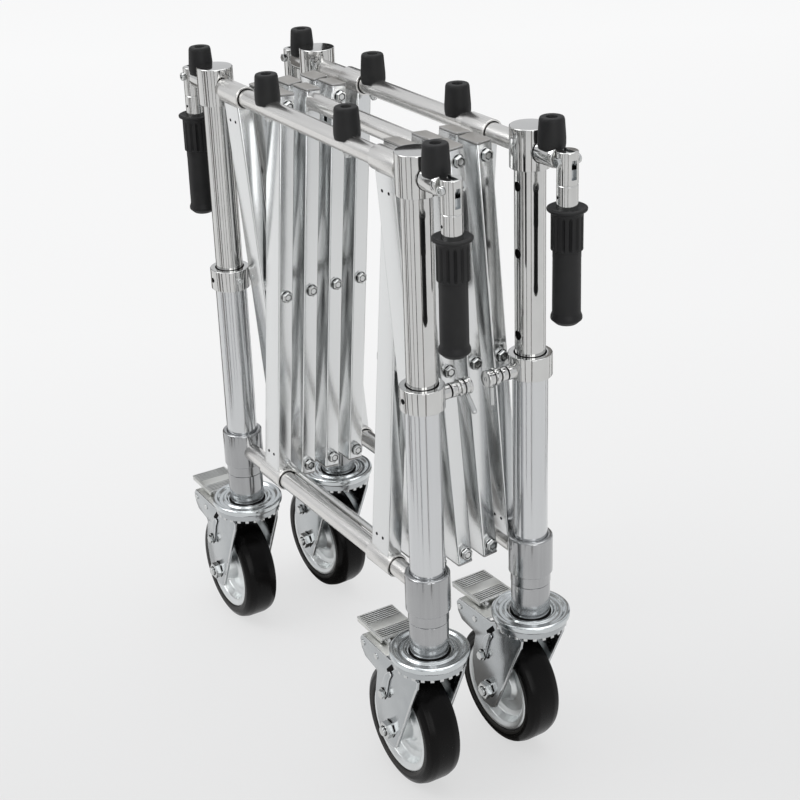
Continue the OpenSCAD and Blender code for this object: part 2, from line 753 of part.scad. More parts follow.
satin() arm_pair(1, -1, end_half, mid_half);  // outer_arms_1
satin() arm_pair(2, -1, mid_half, mid_half);  // outer_arms_2
satin() arm_pair(3, -1, mid_half, mid_half);  // outer_arms_3
satin() arm_pair(4, -1, mid_half, end_half);  // outer_arms_4
satin() arm_pair(1, 1, mid_half, end_half);  // inner_arms_1
satin() { arm_pair(2, 1, mid_half, mid_half); cross_tube(); }  // inner_arms_2
satin() arm_pair(3, 1, mid_half, mid_half);  // inner_arms_3
satin() arm_pair(4, 1, end_half, mid_half);  // inner_arms_4
zinc() pivot_bolts(1, [0, mid_half], false);  // pivot_bolts_1
zinc() pivot_bolts(2, [-mid_half, 0, mid_half], true);  // pivot_bolts_2
zinc() pivot_bolts(3, [-mid_half, 0, mid_half], false);  // pivot_bolts_3
zinc() pivot_bolts(4, [-mid_half, 0], false);  // pivot_bolts_4
zinc()  // front_upper_sleeves
    sleeve_pair(front, upper_bar_z, outer_arm_x, front_sleeve_l);
zinc() {  // front_lower_sleeves
    sleeve_pair(front, lower_bar_z, inner_arm_x, front_sleeve_l);
    tie_rod();
}
zinc()  // rear_upper_sleeves
    sleeve_pair(rear, upper_bar_z, inner_arm_x, rear_sleeve_l);
zinc()  // rear_lower_sleeves
    sleeve_pair(rear, lower_bar_z, outer_arm_x, rear_sleeve_l);
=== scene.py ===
"""Folding coffin truck, dressed over its CAD frame. Lengths are in millimetres until a piece is closed."""
import json
from math import atan2, ceil, cos, pi, radians, sin, tan

import bmesh
import bpy
from mathutils import Matrix, Vector


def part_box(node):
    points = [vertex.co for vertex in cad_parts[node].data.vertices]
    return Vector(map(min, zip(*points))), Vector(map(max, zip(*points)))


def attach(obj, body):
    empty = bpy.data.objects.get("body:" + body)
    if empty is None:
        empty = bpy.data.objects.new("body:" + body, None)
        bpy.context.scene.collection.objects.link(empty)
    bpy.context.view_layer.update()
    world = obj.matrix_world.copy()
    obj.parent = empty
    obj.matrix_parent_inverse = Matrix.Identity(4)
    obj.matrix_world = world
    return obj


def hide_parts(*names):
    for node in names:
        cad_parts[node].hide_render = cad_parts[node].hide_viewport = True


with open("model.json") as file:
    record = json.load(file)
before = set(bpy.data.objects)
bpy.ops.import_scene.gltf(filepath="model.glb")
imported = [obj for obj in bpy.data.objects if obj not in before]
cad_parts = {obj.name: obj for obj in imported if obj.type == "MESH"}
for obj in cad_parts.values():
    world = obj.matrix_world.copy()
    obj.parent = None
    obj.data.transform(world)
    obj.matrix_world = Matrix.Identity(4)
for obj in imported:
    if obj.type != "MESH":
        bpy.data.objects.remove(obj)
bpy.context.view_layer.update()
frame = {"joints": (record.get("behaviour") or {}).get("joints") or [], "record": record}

X, Y, Z = range(3)
MM = 0.001
STEPS = 72


# Sizes the frame doesn't give

arm_w, arm_t = 35.0, 20.0
post_buffer_x, bar_buffer_x = 37.4, 89.0
stub_r = 13.0
knob_r = 10.0
kingpin_r = 10.0
washer_r = 8.0
socket_foot = 240.3
index_drops = 41.5, 137.0, 213.0
lever_tilts = {"front": 42.0, "rear": 3.0}
sleeve_lengths = {"front": 48.0, "rear": 41.0}


# Sizes read from the frame

def span(node, axis):
    """Lowest and highest place of a CAD node along an axis."""
    low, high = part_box(node)
    return low[axis] / MM, high[axis] / MM


def width(node, axis):
    """Size of a CAD node along an axis."""
    low, high = span(node, axis)
    return high - low


def middle(node, axis):
    """Halfway between a CAD node's two ends along an axis."""
    return sum(span(node, axis)) / 2


joint_at = {joint["name"]: Vector(joint["pos_m"]) / MM for joint in frame["joints"] if "pos_m" in joint}
body_of_node = {
    node: body for body, nodes in frame["record"]["behaviour"]["bodies"].items() for node in nodes
}

tube_r = width("front_lower_tubes", Y) / 2
tube_foot, tube_top = span("front_lower_tubes", Z)
post_x = width("front_lower_tubes", X) / 2 - tube_r
middle_x = middle("front_lower_tubes", X)
post_y = -middle("front_lower_bar", Y)
bar_r = width("front_lower_bar", Z) / 2
lower_bar_z = middle("front_lower_bar", Z)
upper_bar_z = middle("front_upper_bar", Z)
chrome_r = width("front_upper_tubes", Y) / 2
chrome_foot, chrome_top = span("front_upper_tubes", Z)
collar_foot, collar_top = span("front_collars", Z)
head_foot, head_top = span("front_heads", Z)
head_r = width("front_heads", Y) / 2
socket_top = span("front_sockets", Z)[1]
grip_foot, grip_top = span("front_right_grip", Z)
flange_r = width("front_right_grip", Y) / 2
stem_r = width("front_right_handle_stem", Y) / 2
hinge_reach = joint_at["front_right_handle_swing"].x - middle_x - post_x
buffer_top = span("front_buffers", Z)[1]
pin_z = span("rear_right_plunger", Z)[1] - knob_r
wheel_r = width("front_right_tyre", Z) / 2
rim_r = width("front_right_rim", Z) / 2
crown_top = span("front_right_fork", Z)[1]
pedal_top = span("front_right_brake_pedal", Z)[1]
axle_z = joint_at["front_right_wheel_spin"].z
sleeve_r = width("front_upper_sleeves", Z) / 2
mid_z = joint_at["middle_pivot_1"].z
top_z = joint_at["top_pivot_1"].z
foot_z = joint_at["bottom_pivot_2"].z
mid_step = joint_at["middle_pivot_2"].y - joint_at["middle_pivot_1"].y
lean = atan2(mid_step, top_z - foot_z)
shift = middle("outer_arms_2", X)
outer_x = width("outer_arms_2", X) / 2 - arm_w / 2
inner_x = width("inner_arms_3", X) / 2 - arm_w / 2
end_half = (upper_bar_z - mid_z) / cos(lean)
mid_half = (top_z - mid_z) / cos(lean)


# Shader nodes

class Link:
    """A node's output. Arithmetic on it adds Math nodes to the same finish."""

    def __init__(self, finish, socket):
        self.finish = finish
        self.socket = socket

    def _math(self, operation, first, second):
        return self.finish.node("ShaderNodeMath", {"operation": operation}, {0: first, 1: second})

    def __add__(self, other):
        return self._math("ADD", self, other)

    def __radd__(self, other):
        return self._math("ADD", other, self)

    def __sub__(self, other):
        return self._math("SUBTRACT", self, other)

    def __rsub__(self, other):
        return self._math("SUBTRACT", other, self)

    def __mul__(self, other):
        return self._math("MULTIPLY", self, other)

    def __rmul__(self, other):
        return self._math("MULTIPLY", other, self)


class Finish:
    """One material, with its shader's fixed values given by name."""

    order = []

    def __init__(self, name, **fixed):
        self.material = bpy.data.materials.new(name)
        self.material.use_nodes = True
        self.tree = self.material.node_tree
        self.shader = self.tree.nodes["Principled BSDF"]
        for socket, value in fixed.items():
            self.feed(self.shader.inputs[socket.replace("_", " ").title().replace("Ior", "IOR")], value)
        self.index = len(Finish.order)
        Finish.order.append(self.material)

    def feed(self, socket, value):
        if isinstance(value, Link):
            self.tree.links.new(value.socket, socket)
        elif isinstance(value, tuple) and len(value) == 3 and socket.type == "RGBA":
            socket.default_value = (*value, 1.0)
        else:
            socket.default_value = value

    def node(self, kind, settings=None, values=None, output=0):
        """Adds a node: its settings first, then the values or links of its sockets."""
        made = self.tree.nodes.new(kind)
        for name, setting in (settings or {}).items():
            if name == "stops":
                for extra in setting[2:]:
                    made.color_ramp.elements.new(extra[0])
                for stop, (place, grey) in zip(made.color_ramp.elements, setting):
                    stop.position = place
                    stop.color = (grey, grey, grey, 1.0)
            else:
                setattr(made, name, setting)
        for name, value in (values or {}).items():
            self.feed(made.inputs[name], value)
        return Link(self, made.outputs[output])

    def place(self, stretch=(1.0, 1.0, 1.0)):
        """The point on the object, in metres, stretched along its axes."""
        here = self.node("ShaderNodeTexCoord", output=3)
        return self.node("ShaderNodeMapping", values={"Vector": here, "Scale": stretch})

    def noise(self, scale, detail=3.0, stretch=(1.0, 1.0, 1.0), roughness=0.5):
        values = {"Vector": self.place(stretch), "Scale": scale, "Detail": detail, "Roughness": roughness}
        return self.node("ShaderNodeTexNoise", values=values)

    def ramp(self, value, low, high):
        """0 below low and 1 above high."""
        settings = {"stops": [(low, 0.0), (high, 1.0)]}
        return self.node("ShaderNodeValToRGB", settings, {"Fac": value})

    def mix(self, amount, first, second):
        """Colour between two colours."""
        values = {"Factor": amount, 6: first, 7: second}
        return self.node("ShaderNodeMix", {"data_type": "RGBA"}, values, output=2)

    def colour(self, value):
        self.feed(self.shader.inputs["Base Color"], value)

    def roughness(self, value):
        self.feed(self.shader.inputs["Roughness"], value)

    def bump(self, height, strength, distance=0.001):
        values = {"Height": height, "Strength": strength, "Distance": distance}
        self.feed(self.shader.inputs["Normal"], self.node("ShaderNodeBump", values=values))


def brushed(name, dark, light, rough, streaks, along=Z, grain=0.06):
    """Metal with fine scratches along one axis and a faint haze."""
    finish = Finish(name, metallic=1.0)
    stretch = tuple(0.02 if axis == along else 1.0 for axis in range(3))
    scratches = finish.noise(streaks, 4.0, stretch, 0.7)
    haze = finish.noise(14.0, 2.0)
    finish.colour(finish.mix(scratches * 0.6 + haze * 0.4, dark, light))
    finish.roughness(rough + (scratches - 0.5) * 0.08 + (haze - 0.5) * 0.08)
    finish.bump(scratches, grain, 0.0003)
    return finish


def plated(name, dark, light, rough, mottling=0.1):
    """Bright plating with faint clouds, as zinc and chrome have."""
    finish = Finish(name, metallic=1.0)
    clouds = finish.noise(38.0, 4.0)
    specks = finish.noise(420.0, 2.0)
    finish.colour(finish.mix(clouds, dark, light))
    finish.roughness(rough + (clouds - 0.5) * mottling + (specks - 0.5) * mottling * 0.5)
    finish.bump(specks, 0.03, 0.0003)
    return finish


def moulded(name, dark, light, rough, grain, strength, shine):
    """Rubber or plastic with a fine grain and a slight bloom."""
    finish = Finish(name, specular_ior_level=shine)
    pores = finish.noise(grain, 3.0)
    bloom = finish.noise(30.0, 3.0)
    finish.colour(finish.mix(finish.ramp(bloom, 0.35, 0.75), dark, light))
    finish.roughness(rough + (bloom - 0.5) * 0.18 + (pores - 0.5) * 0.12)
    finish.bump(pores, strength, 0.0004)
    return finish


post_satin = brushed("post_satin", (0.62, 0.63, 0.64), (0.72, 0.73, 0.74), 0.17, 600.0, Z, 0.012)
bar_satin = brushed("bar_satin", (0.69, 0.68, 0.665), (0.84, 0.83, 0.81), 0.26, 900.0, X, 0.02)
arm_satin = brushed("arm_satin", (0.74, 0.75, 0.75), (0.82, 0.83, 0.83), 0.18, 600.0, Z, 0.010)
chrome = plated("chrome", (0.60, 0.60, 0.59), (0.70, 0.70, 0.69), 0.085, 0.05)
socket_zinc = brushed("socket_zinc", (0.31, 0.315, 0.32), (0.54, 0.545, 0.55), 0.17, 120.0, Z, 0.05)
disc_zinc = plated("disc_zinc", (0.54, 0.57, 0.58), (0.74, 0.77, 0.78), 0.20, 0.12)
fork_zinc = plated("fork_zinc", (0.42, 0.44, 0.45), (0.54, 0.56, 0.57), 0.19, 0.10)
bolt_zinc = plated("bolt_zinc", (0.50, 0.51, 0.51), (0.72, 0.73, 0.72), 0.13, 0.10)
pedal_zinc = plated("pedal_zinc", (0.62, 0.63, 0.61), (0.78, 0.78, 0.75), 0.40, 0.14)
rim_paint = plated("rim_paint", (0.70, 0.72, 0.72), (0.84, 0.86, 0.86), 0.36, 0.12)
tread = moulded("tread", (0.0015, 0.0013, 0.0013), (0.003, 0.0027, 0.0025), 0.26, 700.0, 0.04, 0.13)
# Rougher rubber for the band beside the rim; its lighter colour is a painted reflection.
sidewall_sheen = moulded("sidewall_sheen", (0.010, 0.009, 0.008), (0.022, 0.020, 0.018), 0.45, 500.0, 0.06, 0.3)
rubber = moulded("rubber", (0.006, 0.006, 0.0065), (0.014, 0.014, 0.014), 0.52, 1400.0, 0.22, 0.3)
cap_plastic = moulded("cap_plastic", (0.22, 0.212, 0.20), (0.30, 0.29, 0.275), 0.42, 900.0, 0.05, 0.4)
# Black for gaps, holes, grooves and hollows: painted shade where only shade falls, not a colour of the
# truck.
shade = Finish("shade", base_color=(0.004, 0.004, 0.004), roughness=0.8, specular_ior_level=0.1)


# Shapes

class Shape:
    """A mesh in the making, with a finish on every face."""

    def __init__(self):
        self.mesh = bmesh.new()

    def add(self, other, place=Matrix()):
        """Adds a copy of another shape. A mirrored place turns its faces round."""
        copy = other.mesh.copy()
        copy.transform(place)
        if place.determinant() < 0:
            bmesh.ops.reverse_faces(copy, faces=copy.faces)
        carrier = bpy.data.meshes.new("carrier")
        copy.to_mesh(carrier)
        copy.free()
        self.mesh.from_mesh(carrier)
        bpy.data.meshes.remove(carrier)
        return self

    def soften(self, edge, angle=radians(35)):
        """Rounds every sharp edge a little, so that it catches the light."""
        sharp = [e for e in self.mesh.edges if len(e.link_faces) == 2 and e.calc_face_angle() > angle]
        bmesh.ops.bevel(self.mesh, geom=sharp, offset=edge, segments=2, profile=0.5, affect="EDGES")
        return self


def rounded(points, closed=False):
    """Outline whose corners get an arc of the radius given as their third number."""
    smooth = []
    for k, point in enumerate(points):
        here = Vector(point[:2])
        if len(point) < 3 or not (closed or 0 < k < len(points) - 1):
            smooth.append(here)
            continue
        back = (Vector(points[k - 1][:2]) - here).normalized()
        on = (Vector(points[(k + 1) % len(points)][:2]) - here).normalized()
        half = back.angle(on) / 2
        centre = here + (back + on).normalized() * point[2] / sin(half)
        first = here + back * point[2] / tan(half) - centre
        last = here + on * point[2] / tan(half) - centre
        start = atan2(first.y, first.x)
        turn = (atan2(last.y, last.x) - start + pi) % (2 * pi) - pi
        parts = max(2, ceil(abs(turn) / radians(15)))
        for part in range(parts + 1):
            angle = start + turn * part / parts
            smooth.append(centre + point[2] * Vector((cos(angle), sin(angle))))
    return [(point.x, point.y) for point in smooth]


def lathe(outline, finish, steps=STEPS, closed=False, flute=None):
    """Turned about Z. The outline holds (radius, height) and goes up the outside."""
    shape = Shape()
    rings = []
    for radius, height in outline:
        if radius < 0.01:
            rings.append([shape.mesh.verts.new((0, 0, height))] * steps)
            continue
        ring = []
        for k in range(steps):
            angle = 2 * pi * k / steps
            reach = radius - (flute(height, k) if flute else 0)
            ring.append(shape.mesh.verts.new((reach * cos(angle), reach * sin(angle), height)))
        rings.append(ring)
    pairs = list(zip(rings, rings[1:])) + ([(rings[-1], rings[0])] if closed else [])
    for low, high in pairs:
        for k in range(steps):
            after = (k + 1) % steps
            corners = list(dict.fromkeys([low[k], low[after], high[after], high[k]]))
            if len(corners) > 2:
                shape.mesh.faces.new(corners).material_index = finish.index
    return shape


def plate(outline, thickness, finish, edge=0.4):
    """Flat in XY and centred on Z, with softened edges."""
    shape = Shape()
    face = shape.mesh.faces.new([shape.mesh.verts.new((x, y, -thickness / 2)) for x, y in outline])
    raised = bmesh.ops.extrude_face_region(shape.mesh, geom=[face])["geom"]
    upper = [item for item in raised if isinstance(item, bmesh.types.BMVert)]
    bmesh.ops.translate(shape.mesh, verts=upper, vec=(0, 0, thickness))
    bmesh.ops.recalc_face_normals(shape.mesh, faces=shape.mesh.faces)
    for made in shape.mesh.faces:
        made.material_index = finish.index
    return shape.soften(edge) if edge else shape


def block(size, finish, edge=0.4, corner=0.0):
    """Box about the origin, with its upright corners rounded where a radius is given."""
    w, d, h = size
    corners = [(-w / 2, -d / 2), (w / 2, -d / 2), (w / 2, d / 2), (-w / 2, d / 2)]
    if corner:
        corners = rounded([(*point, corner) for point in corners], closed=True)
    return plate(corners, h, finish, edge)


def drum(radius, foot, top, finish, edge=0.6, bore=0.0, steps=STEPS):
    """Cylinder about Z with rounded rims, or a ring where a bore is given."""
    outline = rounded([(bore, foot), (radius, foot, edge), (radius, top, edge), (bore, top)])
    return lathe(outline, finish, steps, closed=bool(bore))


def carve(shape, cutter, operation="DIFFERENCE"):
    """Boolean of two shapes, worked out by Blender."""
    objects = []
    for part in (shape, cutter):
        mesh = bpy.data.meshes.new("carve")
        bmesh.ops.recalc_face_normals(part.mesh, faces=part.mesh.faces)
        part.mesh.to_mesh(mesh)
        objects.append(bpy.data.objects.new("carve", mesh))
        bpy.context.scene.collection.objects.link(objects[-1])
    for finish in Finish.order:
        objects[0].data.materials.append(finish)
        objects[1].data.materials.append(finish)
    cut = objects[0].modifiers.new("cut", "BOOLEAN")
    cut.object = objects[1]
    cut.operation = operation
    cut.solver = "EXACT"
    cut.material_mode = "INDEX"
    bpy.context.view_layer.update()
    depsgraph = bpy.context.evaluated_depsgraph_get()
    result = Shape()
    result.mesh.from_mesh(objects[0].evaluated_get(depsgraph).to_mesh())
    for made in objects:
        bpy.data.objects.remove(made)
    return result


def at(x, y, z):
    """Moves a part to a place."""
    return Matrix.Translation((x, y, z))


# Ways to lay what is drawn about Z or flat in XY

ALONG_X = Matrix.Rotation(pi / 2, 4, "Y")
ALONG_Y = Matrix.Rotation(-pi / 2, 4, "X")
UPRIGHT = Matrix.Rotation(pi / 2, 4, "X")
SIDEWAYS = Matrix(((0, 0, 1, 0), (1, 0, 0, 0), (0, 1, 0, 0), (0, 0, 0, 1)))
DOWN = Matrix.Scale(-1, 4, (0, 0, 1))


def close(shape, node):
    """Makes the object that stands for a CAD node, and lets it ride on the node's body."""
    shape.mesh.transform(Matrix.Scale(MM, 4))
    used = sorted({face.material_index for face in shape.mesh.faces})
    for face in shape.mesh.faces:
        face.material_index = used.index(face.material_index)
    mesh = bpy.data.meshes.new(node + "_dressed")
    shape.mesh.to_mesh(mesh)
    shape.mesh.free()
    for index in used:
        mesh.materials.append(Finish.order[index])
    mesh.shade_smooth()
    mesh.set_sharp_from_angle(angle=radians(32))
    piece = bpy.data.objects.new(node + "_dressed", mesh)
    bpy.context.scene.collection.objects.link(piece)
    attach(piece, body_of_node[node])
    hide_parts(node)


# Posts, drawn for a front right post with the middle of the truck towards +Y

def at_post(end, side):
    """Stands at the left (-1) or right (1) post of the front (-1) or rear (1) frame."""
    mirror = Matrix.Diagonal((side, -end, 1, 1))
    return at(middle_x + side * post_x, end * post_y, 0) @ mirror


def pair(part, end):
    """The same part at both posts of one frame."""
    both = Shape()
    for side in (-1, 1):
        both.add(part, at_post(end, side))
    return both


def lower_tube():
    """Satin outer tube of a post."""
    wall = 2.2
    return drum(tube_r, tube_foot, tube_top, post_satin, 0.5, bore=tube_r - wall)


def socket():
    """Sleeve that grips the foot of a lower tube, with a step down to the caster's neck."""
    narrow_r, wide_r, bore_r = 23.5, 26.0, tube_r + 0.3
    step = 254.0
    outline = rounded([
        (18.0, socket_foot), (narrow_r, socket_foot, 0.6), (narrow_r, step, 1.0), (wide_r, step + 0.6, 1.6),
        (wide_r, socket_top, 2.6), (bore_r, socket_top, 0.8), (bore_r, socket_top - 4)
    ])
    return lathe(outline, socket_zinc)


def caster_head():
    """Neck, grooved disc, toothed ring and kingpin over a caster's fork."""
    disc_foot, disc_top = 192.0, 201.0
    neck_r, disc_r, ring_r = 23.0, 46.8, 43.0
    groove, bead, dip = disc_top - 2.8, disc_top - 0.8, disc_top - 3.2
    head = Shape()
    head.add(drum(neck_r, disc_top - 4, socket_foot - 0.6, socket_zinc, 0.5))
    head.add(lathe(rounded([
        (12.0, disc_foot), (45.0, disc_foot, 1.0),
        (disc_r, disc_foot + 2.5, 1.6), (disc_r, disc_top - 1.5, 1.6),
        (44.5, disc_top, 1.4), (41.0, disc_top, 1.4), (38.0, groove, 1.2), (33.5, groove, 1.0),
        (31.5, bead, 1.0), (28.5, bead, 1.0), (26.5, dip, 0.8), (20.0, disc_top - 3.6)
    ]), disc_zinc, 96))
    # Black ring where the neck meets the disc: painted shadow in the gap.
    head.add(drum(24.6, disc_top - 4.4, disc_top - 2.6, shade, 0.2, bore=20.0))
    ring_foot = disc_foot - 8
    head.add(drum(ring_r, ring_foot, disc_foot + 0.5, fork_zinc, 0.4, bore=40.2))
    teeth = 24
    tooth = block((2.6, 4.6, 4.0), bolt_zinc, 0.5)
    for k in range(teeth):
        head.add(tooth, Matrix.Rotation(2 * pi * k / teeth, 4, "Z") @ at(ring_r - 1.5, 0, ring_foot - 1.2))
    head.add(drum(kingpin_r, ring_foot, disc_foot, bolt_zinc, 0.4))
    head.add(drum(kingpin_r + 6, ring_foot - 2, ring_foot + 3, bolt_zinc, 0.8))
    return head


def collar():
    """Ring on top of a lower tube, with the plunger's barrel, a side screw and a small hole outside, drawn
    as a black disc of painted shade.
    """
    body_r, barrel_r, groove_r = 25.0, 8.5, 7.4
    barrel_in, barrel_out = 22.0, post_y - 30.0
    groove_in, groove_out = 33.0, 35.4
    screw_r, screw_out = 4.2, 27.4
    screw_z = (collar_foot + collar_top) / 2
    barrel_place = at(0, 0, pin_z) @ ALONG_Y
    body = Shape()
    body.add(drum(body_r, collar_foot, collar_top, chrome, 1.0, bore=chrome_r + 0.6))
    barrel = lathe(rounded([
        (0, barrel_in), (barrel_r, barrel_in), (barrel_r, groove_in, 0.6),
        (groove_r, groove_in + 0.4), (groove_r, groove_out - 0.4),
        (barrel_r, groove_out, 0.4), (barrel_r, barrel_out, 1.0), (3.6, barrel_out)
    ]), chrome, 48)
    body.add(barrel, barrel_place)
    # Black band in the barrel's groove: painted shade.
    body.add(drum(groove_r + 0.6, groove_in + 0.3, groove_out - 0.3, shade, 0.0, steps=48), barrel_place)
    # Black ring where the chrome tube leaves the collar: painted shadow in the gap.
    body.add(drum(chrome_r + 1.5, collar_top - 1.0, collar_top + 0.05, shade, 0.0, bore=chrome_r + 0.1))
    # The small hole is only a thin black disc: painted shade.
    hole = drum(3.2, 0.0, 0.4, shade, 0.05, steps=32)
    body.add(hole, at(0, 0.2 - body_r, screw_z) @ ALONG_Y @ DOWN)
    screw = lathe(rounded([
        (0, 24.2), (screw_r, 24.2), (screw_r, screw_out, 0.8), (2.2, screw_out), (2.0, 25.5), (0, 25.5)
    ]), bolt_zinc, 32)
    body.add(screw, at(0, 0, screw_z) @ Matrix.Rotation(pi, 4, "Z") @ ALONG_X)
    return body


def plunger(lever_tilt):
    """Pin, knob and the little lever that swings about the pin."""
    pin_r, neck_r, waist_r, lever_r, lever_l = 3.5, 7.0, 9.0, 3.0, 33.0
    knob_in, knob_out = post_y - 29.0, post_y - 11.0
    place = at(0, 0, pin_z) @ ALONG_Y
    part = Shape()
    part.add(drum(pin_r, chrome_r + 0.4, knob_in + 2, bolt_zinc, 0.6, steps=32), place)
    part.add(lathe(rounded([
        (0, knob_in), (neck_r, knob_in, 0.6), (neck_r, knob_in + 3, 0.3), (knob_r, knob_in + 3.4, 1.0),
        (knob_r, knob_in + 7, 0.8), (waist_r, knob_in + 7.8, 0.4), (waist_r, knob_out - 4.0, 0.4),
        (knob_r, knob_out - 3.4, 0.5), (knob_r, knob_out, 1.4), (3.0, knob_out, 0.5), (0, knob_out - 0.6)
    ]), chrome, 48), place)
    # Black band on the waist just past the knob's shoulder: painted shade under the shoulder.
    part.add(drum(waist_r + 0.3, knob_in + 8.4, knob_in + 9.6, shade, 0.0, steps=48), place)
    rod = lathe(rounded([
        (0, -lever_l), (lever_r, -lever_l, 2.4), (lever_r, -11.0), (2.2, -10.4), (2.2, 0)
    ]), bolt_zinc, 32)
    knob_middle = (knob_in + 3 + knob_out) / 2
    part.add(rod, at(0, knob_middle, pin_z) @ Matrix.Rotation(-radians(lever_tilt), 4, "Y"))
    return part


def chrome_tube():
    """Sliding inner tube of a post. The plunger's pin enters a hole when the tube has dropped that far."""
    wall, hole_r = 2.0, 5.5
    tube = drum(chrome_r, chrome_foot, chrome_top, chrome, 0.4, bore=chrome_r - wall)
    for drop in index_drops:
        # Each hole is cut with a black cutter, so its walls carry painted shade.
        hole = drum(hole_r, 0.0, 2 * chrome_r, shade, 0.0, steps=40)
        tube = carve(tube, Shape().add(hole, at(0, 0, pin_z + drop) @ ALONG_Y))
    # Black core inside the tube: painted shade for its dark inside.
    tube.add(drum(chrome_r - wall - 0.3, chrome_foot + 1, chrome_top - 1, shade, 0.2))
    return tube


def hinge_screw():
    """Screw through the handle's fork, with a socket head in front and a nut behind."""
    seat = stem_r - 0.4
    shank_r, cap_r, nut_r = 3.0, 5.2, 5.4
    screw = Shape()
    screw.add(drum(shank_r, -seat, seat, bolt_zinc, 0.2, steps=32), ALONG_Y)
    cap = lathe(rounded([
        (0, seat), (cap_r, seat), (cap_r, seat + 4.0, 1.2),
        (2.4, seat + 4.2), (2.2, seat + 2.2), (0, seat + 2.2)
    ]), bolt_zinc, 40)
    screw.add(cap, Matrix.Rotation(pi, 4, "Z") @ ALONG_Y)
    nut = lathe(rounded([
        (0, seat), (nut_r, seat), (nut_r, seat + 3.6, 0.5), (4.6, seat + 4.3), (0, seat + 4.3)
    ]), bolt_zinc, 6)
    screw.add(nut, ALONG_Y)
    return screw


def head():
    """Closed head of a post, with the stub and tongue that carry the handle."""
    part = Shape()
    part.add(lathe(rounded([
        (chrome_r + 0.1, head_foot + 2), (chrome_r + 0.1, head_foot), (head_r, head_foot, 0.9),
        (head_r, head_top, 1.3), (0, head_top)
    ]), chrome, 96))
    stub_end = hinge_reach - stem_r - 1.4
    tongue_half, tongue_t = 7.5, 6.0
    tongue_foot, tongue_end = stub_end - 3, hinge_reach + tongue_half
    stub = lathe(rounded([
        (stub_r, head_r - 4), (stub_r, stub_end - 5, 3.0), (stub_r - 1.4, stub_end, 1.6), (0, stub_end)
    ]), chrome)
    part.add(stub, at(0, 0, upper_bar_z) @ ALONG_X)
    # Black ring where the stub leaves the head: painted shadow in the joint.
    part.add(drum(stub_r + 0.5, head_r - 1.0, head_r + 0.4, shade, 0.2), at(0, 0, upper_bar_z) @ ALONG_X)
    tongue = rounded([
        (tongue_foot, -tongue_half), (tongue_end, -tongue_half, tongue_half - 0.1),
        (tongue_end, tongue_half, tongue_half - 0.1), (tongue_foot, tongue_half)
    ])
    part.add(plate(tongue, tongue_t, chrome, 0.4), at(0, 0, upper_bar_z) @ UPRIGHT)
    part.add(hinge_screw(), at(hinge_reach, 0, upper_bar_z))
    return part


def crossbar(z):
    """Bar between two posts, at the height of the lower or the upper one."""
    low, high = span("front_lower_bar" if z < mid_z else "front_upper_bar", X)
    return Shape().add(drum(bar_r, low, high, bar_satin, 0.3), at(0, 0, z) @ ALONG_X)


def buffer(seat_r):
    """Rubber foot with a sunk screw, wrapped round the bar or stub under it."""
    foot, well = upper_bar_z + seat_r - 6, buffer_top - 10
    widest_r, screw_r = 15.0, 4.6
    body = lathe(rounded([
        (9.0, foot), (14.2, foot, 1.0), (widest_r, foot + 5, 4.0), (widest_r, foot + 12, 6.0),
        (13.6, buffer_top - 3, 3.0), (12.6, buffer_top, 1.8), (6.2, buffer_top, 1.2),
        (5.2, buffer_top - 3.5, 1.0), (5.0, well), (0, well)
    ]), rubber)
    screw_outline = rounded([(screw_r, well + 0.2), (screw_r, well + 1.4, 0.8), (0, well + 2.0)])
    return body.add(lathe(screw_outline, bolt_zinc, 32))


def acorn_screw():
    """Domed screw head under a crossbar, below its buffer."""
    z = upper_bar_z - bar_r
    dome_r, washer_out = 4.4, 5.6
    outline = rounded([(0, z - 5.5), (2.6, z - 5.2, 1.4), (dome_r, z - 2.4, 1.4), (dome_r, z + 0.6)])
    dome = lathe(outline, bolt_zinc, 32)
    return dome.add(drum(washer_out, z - 0.8, z + 0.8, bolt_zinc, 0.3, steps=40))


# Handles

def handle_stem():
    """Forked stem of a handle, hinged on the tongue."""
    foot, knuckle = grip_top - 6, upper_bar_z + stem_r - 0.6
    groove_z, groove_r = upper_bar_z - 25, stem_r - 0.5
    pin_hole_r, pin_hole_z = 1.7, upper_bar_z - 38
    slot_w, slot_reach, slot_h = 6.6, 8.5, 40
    window_l, window_h = 30, 21
    slot_l = stem_r + slot_reach + 10
    part = lathe(rounded([
        (0, foot), (stem_r, foot), (stem_r, groove_z - 0.8, 0.5), (groove_r, groove_z - 0.2),
        (groove_r, groove_z + 0.4), (stem_r, groove_z + 0.8, 0.5), (stem_r, knuckle, 1.2), (0, knuckle)
    ]), chrome)
    # The slot and the window are cut with the darker fork zinc, so their inner faces carry painted shade.
    slot = block((slot_l, slot_w, slot_h), fork_zinc, 0.0)
    slot_z = upper_bar_z - slot_reach + slot_h / 2
    part = carve(part, Shape().add(slot, at(slot_reach - slot_l / 2, 0, slot_z)))
    window = block((window_l, slot_w, window_h), fork_zinc, 0.0)
    part = carve(part, Shape().add(window, at(8 + window_l / 2, 0, upper_bar_z - 8)))
    # The pin's holes are thin black discs: painted shade.
    for way in (ALONG_Y, ALONG_Y @ DOWN):
        hole = drum(pin_hole_r, stem_r - 0.15, stem_r + 0.1, shade, 0.0, steps=24)
        part.add(hole, at(-1.5, 0, pin_hole_z) @ way)
    return part


